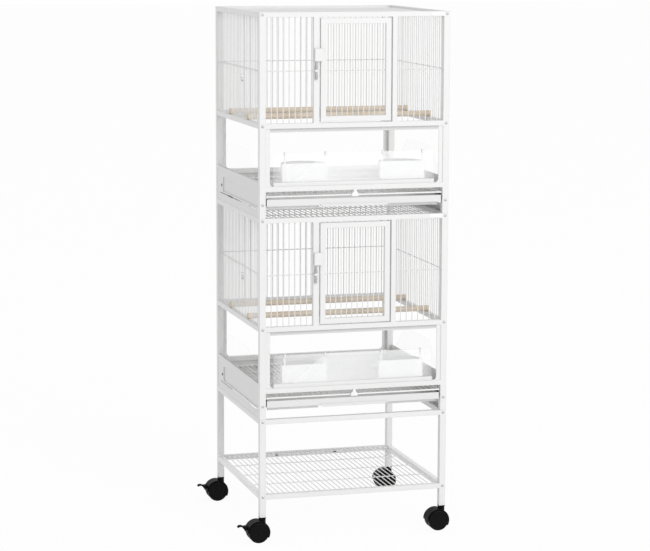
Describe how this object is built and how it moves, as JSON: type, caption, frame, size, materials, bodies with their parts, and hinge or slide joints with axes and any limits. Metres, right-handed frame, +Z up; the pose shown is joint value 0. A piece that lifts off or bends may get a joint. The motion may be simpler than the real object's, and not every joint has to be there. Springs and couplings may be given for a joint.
{
  "type": "bird cage",
  "caption": "Rolling bird cage: stacked wire units with hinged doors, clear seed guards, feeder cups, slide-out trays and floor grates, on a stand with a mesh shelf and casters.",
  "frame": {"origin": "on the floor, centred between the four legs in X and Y; the wheels touch the floor at Z = 0", "axes": "+X to the right seen from the front, +Y from the front to the back, +Z up"},
  "size_m": [0.5332, 0.471, 1.27],
  "materials": {
    "powder_coat": "smooth powder coat, semi-gloss",
    "zinc": "bright plated",
    "clear_plastic": "clear, polished",
    "cup_plastic": "smooth",
    "wood": "plain sanded",
    "black_plastic": "satin",
    "wheel_plastic": "satin"
  },
  "bodies": {
    "frame": {"stand_front_frame": "powder_coat", "stand_back_frame": "powder_coat", "stand_rail_left": "powder_coat", "stand_rail_right": "powder_coat", "stand_shelf": "powder_coat", "frame_screws": "zinc", "door_pivots": "zinc", "stacking_pegs": "zinc", "side_clips": "zinc", "leg_sockets": "black_plastic", "lower_front_frame": "powder_coat", "lower_back_frame": "powder_coat", "lower_left_panel": "powder_coat", "lower_right_panel": "powder_coat", "lower_roof": "powder_coat", "lower_wall_left": "powder_coat", "lower_wall_right": "powder_coat", "lower_wall_back": "powder_coat", "lower_guard_front": "clear_plastic", "lower_guard_left": "clear_plastic", "lower_guard_right": "clear_plastic", "upper_front_frame": "powder_coat", "upper_back_frame": "powder_coat", "upper_left_panel": "powder_coat", "upper_right_panel": "powder_coat", "upper_roof": "powder_coat", "upper_wall_left": "powder_coat", "upper_wall_right": "powder_coat", "upper_wall_back": "powder_coat", "upper_guard_front": "clear_plastic", "upper_guard_left": "clear_plastic", "upper_guard_right": "clear_plastic"},
    "caster_fl_housing": {"caster_fl_housing": "black_plastic"},
    "caster_fl_wheels": {"caster_fl_wheels": "wheel_plastic"},
    "caster_fl_brake": {"caster_fl_brake": "black_plastic"},
    "caster_fr_housing": {"caster_fr_housing": "black_plastic"},
    "caster_fr_wheels": {"caster_fr_wheels": "wheel_plastic"},
    "caster_bl_housing": {"caster_bl_housing": "black_plastic"},
    "caster_bl_wheels": {"caster_bl_wheels": "wheel_plastic"},
    "caster_bl_brake": {"caster_bl_brake": "black_plastic"},
    "caster_br_housing": {"caster_br_housing": "black_plastic"},
    "caster_br_wheels": {"caster_br_wheels": "wheel_plastic"},
    "lower_door": {"lower_door": "powder_coat"},
    "lower_latch_bolt": {"lower_latch_bolt": "zinc"},
    "lower_perch_rear": {"lower_perch_rear": "wood"},
    "lower_perch_front": {"lower_perch_front": "wood"},
    "lower_cup_left": {"lower_cup_left": "cup_plastic"},
    "lower_cup_right": {"lower_cup_right": "cup_plastic"},
    "lower_grate": {"lower_grate": "powder_coat", "lower_grate_tab": "powder_coat"},
    "lower_tray": {"lower_tray": "powder_coat"},
    "upper_door": {"upper_door": "powder_coat"},
    "upper_latch_bolt": {"upper_latch_bolt": "zinc"},
    "upper_perch_rear": {"upper_perch_rear": "wood"},
    "upper_perch_front": {"upper_perch_front": "wood"},
    "upper_cup_left": {"upper_cup_left": "cup_plastic"},
    "upper_cup_right": {"upper_cup_right": "cup_plastic"},
    "upper_grate": {"upper_grate": "powder_coat", "upper_grate_tab": "powder_coat"},
    "upper_tray": {"upper_tray": "powder_coat"}
  },
  "joints": [
    {"name": "caster_fl_housing_swivel", "type": "hinge", "parent": "frame", "child": "caster_fl_housing", "pos_m": [-0.2275, -0.2155, 0.058], "axis": [0, 0, 1], "continuous": true},
    {"name": "caster_fl_wheels_roll", "type": "hinge", "parent": "caster_fl_housing", "child": "caster_fl_wheels", "pos_m": [-0.2395, -0.2155, 0.025], "axis": [0, 1, 0], "continuous": true},
    {"name": "caster_fl_brake_press", "type": "hinge", "parent": "caster_fl_housing", "child": "caster_fl_brake", "pos_m": [-0.2705, -0.2155, 0.036], "axis": [0, -1, 0], "range_deg": [0, 18]},
    {"name": "caster_fr_housing_swivel", "type": "hinge", "parent": "frame", "child": "caster_fr_housing", "pos_m": [0.2275, -0.2155, 0.058], "axis": [0, 0, 1], "continuous": true},
    {"name": "caster_fr_wheels_roll", "type": "hinge", "parent": "caster_fr_housing", "child": "caster_fr_wheels", "pos_m": [0.2155, -0.2155, 0.025], "axis": [0, 1, 0], "continuous": true},
    {"name": "caster_bl_housing_swivel", "type": "hinge", "parent": "frame", "child": "caster_bl_housing", "pos_m": [-0.2275, 0.2155, 0.058], "axis": [0, 0, 1], "continuous": true},
    {"name": "caster_bl_wheels_roll", "type": "hinge", "parent": "caster_bl_housing", "child": "caster_bl_wheels", "pos_m": [-0.2395, 0.2155, 0.025], "axis": [0, 1, 0], "continuous": true},
    {"name": "caster_bl_brake_press", "type": "hinge", "parent": "caster_bl_housing", "child": "caster_bl_brake", "pos_m": [-0.2705, 0.2155, 0.036], "axis": [0, -1, 0], "range_deg": [0, 18]},
    {"name": "caster_br_housing_swivel", "type": "hinge", "parent": "frame", "child": "caster_br_housing", "pos_m": [0.2275, 0.2155, 0.058], "axis": [0, 0, 1], "continuous": true},
    {"name": "caster_br_wheels_roll", "type": "hinge", "parent": "caster_br_housing", "child": "caster_br_wheels", "pos_m": [0.2155, 0.2155, 0.025], "axis": [0, 1, 0], "continuous": true},
    {"name": "lower_door_hinge", "type": "hinge", "parent": "frame", "child": "lower_door", "pos_m": [0.0685, -0.2175, 0.5266], "axis": [0, 0, 1], "range_deg": [0, 110]},
    {"name": "lower_latch_bolt_slide", "type": "slide", "parent": "frame", "child": "lower_latch_bolt", "axis": [0, 0, 1], "range_m": [0, 0.008]},
    {"name": "lower_perch_rear_lift", "type": "slide", "parent": "frame", "child": "lower_perch_rear", "axis": [0, 0, 1], "range_m": [0, 0.1]},
    {"name": "lower_perch_front_lift", "type": "slide", "parent": "frame", "child": "lower_perch_front", "axis": [0, 0, 1], "range_m": [0, 0.1]},
    {"name": "lower_cup_left_lift", "type": "slide", "parent": "frame", "child": "lower_cup_left", "axis": [0, 0, 1], "range_m": [0, 0.04]},
    {"name": "lower_cup_right_lift", "type": "slide", "parent": "frame", "child": "lower_cup_right", "axis": [0, 0, 1], "range_m": [0, 0.04]},
    {"name": "lower_grate_slide", "type": "slide", "parent": "frame", "child": "lower_grate", "axis": [0, -1, 0], "range_m": [0, 0.4]},
    {"name": "lower_tray_slide", "type": "slide", "parent": "frame", "child": "lower_tray", "axis": [0, -1, 0], "range_m": [0, 0.4]},
    {"name": "upper_door_hinge", "type": "hinge", "parent": "frame", "child": "upper_door", "pos_m": [0.0685, -0.2175, 1.0116], "axis": [0, 0, 1], "range_deg": [0, 110]},
    {"name": "upper_latch_bolt_slide", "type": "slide", "parent": "frame", "child": "upper_latch_bolt", "axis": [0, 0, 1], "range_m": [0, 0.008]},
    {"name": "upper_perch_rear_lift", "type": "slide", "parent": "frame", "child": "upper_perch_rear", "axis": [0, 0, 1], "range_m": [0, 0.1]},
    {"name": "upper_perch_front_lift", "type": "slide", "parent": "frame", "child": "upper_perch_front", "axis": [0, 0, 1], "range_m": [0, 0.1]},
    {"name": "upper_cup_left_lift", "type": "slide", "parent": "frame", "child": "upper_cup_left", "axis": [0, 0, 1], "range_m": [0, 0.04]},
    {"name": "upper_cup_right_lift", "type": "slide", "parent": "frame", "child": "upper_cup_right", "axis": [0, 0, 1], "range_m": [0, 0.04]},
    {"name": "upper_grate_slide", "type": "slide", "parent": "frame", "child": "upper_grate", "axis": [0, -1, 0], "range_m": [0, 0.4]},
    {"name": "upper_tray_slide", "type": "slide", "parent": "frame", "child": "upper_tray", "axis": [0, -1, 0], "range_m": [0, 0.4]}
  ]
}
